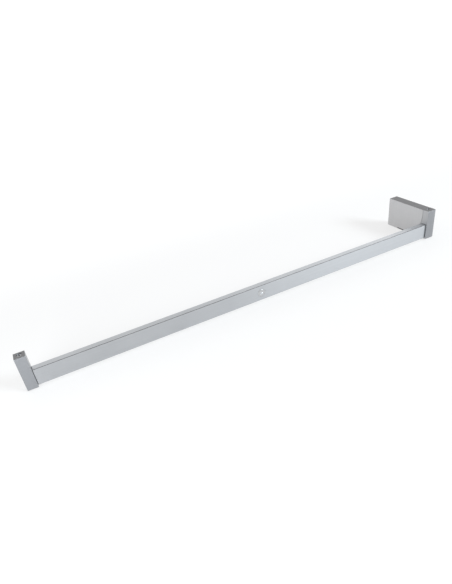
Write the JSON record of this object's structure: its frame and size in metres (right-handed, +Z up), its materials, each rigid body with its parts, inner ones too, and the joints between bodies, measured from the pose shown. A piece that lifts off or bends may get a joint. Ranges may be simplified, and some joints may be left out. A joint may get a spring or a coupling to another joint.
{
  "type": "panic exit bar",
  "caption": "Push bar for an escape door: a flat bar between two upright arms swings down and in on a slim lock-side housing and turns a square spindle socket.",
  "frame": {"origin": "the middle of the housing frame's back face, on the door", "axes": "+X along the bar from the plain arm to the housing, +Y towards the door, +Z up"},
  "size_m": [1.0002, 0.1295, 0.075],
  "materials": {
    "satin_aluminium": "satin, fine brushing",
    "steel": "machined",
    "dark_steel": "dark zinc plated",
    "cast_zinc": "as cast, passivated",
    "brass": "turned",
    "black_plastic": "matt moulded",
    "white_plastic": "acetal, turned",
    "rubber": "matt"
  },
  "bodies": {
    "housing": {"frame": "cast_zinc", "housing_cover": "satin_aluminium", "bottom_cover": "black_plastic", "cover_screw": "dark_steel", "bottom_cover_screw": "dark_steel", "axle": "steel", "hub_bush": "white_plastic", "rack_guide": "black_plastic", "guide_screw_left": "dark_steel", "guide_screw_right": "dark_steel", "return_spring": "steel", "rest_buffer": "rubber", "push_buffer": "rubber"},
    "push_bar": {"right_arm": "satin_aluminium", "left_arm": "satin_aluminium", "bar_body": "satin_aluminium", "bar_face": "satin_aluminium", "centre_plug": "satin_aluminium", "axle_bush_left": "brass", "axle_bush_right": "brass", "spigot_left": "steel", "end_gasket_left": "black_plastic", "clamp_screw_left": "dark_steel", "spigot_screw_left": "dark_steel", "spigot_right": "steel", "end_gasket_right": "black_plastic", "clamp_screw_right": "dark_steel", "spigot_screw_right": "dark_steel"},
    "rack": {"rack_slider": "steel", "rack_roller": "steel", "roller_pin": "dark_steel"},
    "spindle": {"spindle_hub": "steel", "drive_pinion": "steel", "hub_circlip": "dark_steel"}
  },
  "joints": [
    {"name": "bar_swing", "type": "hinge", "parent": "housing", "child": "push_bar", "pos_m": [0, -0.026, 0.025], "axis": [1, 0, 0], "range_deg": [0, 9], "stiffness_Nm_per_rad": 4, "springref_deg": -20.05},
    {"name": "rack_slide", "type": "slide", "parent": "housing", "child": "rack", "axis": [0, 0, -1], "range_m": [0, 0.0048], "deforming": ["return_spring"]},
    {"name": "spindle_turn", "type": "hinge", "parent": "housing", "child": "spindle", "pos_m": [0, 0, -0.012], "axis": [0, 1, 0], "range_deg": [0, 45.8]}
  ],
  "couplings": [
    {"joint": "rack_slide", "follows": "bar_swing", "m_per_rad": 0.030514},
    {"joint": "spindle_turn", "follows": "bar_swing", "ratio": 5.0858}
  ]
}
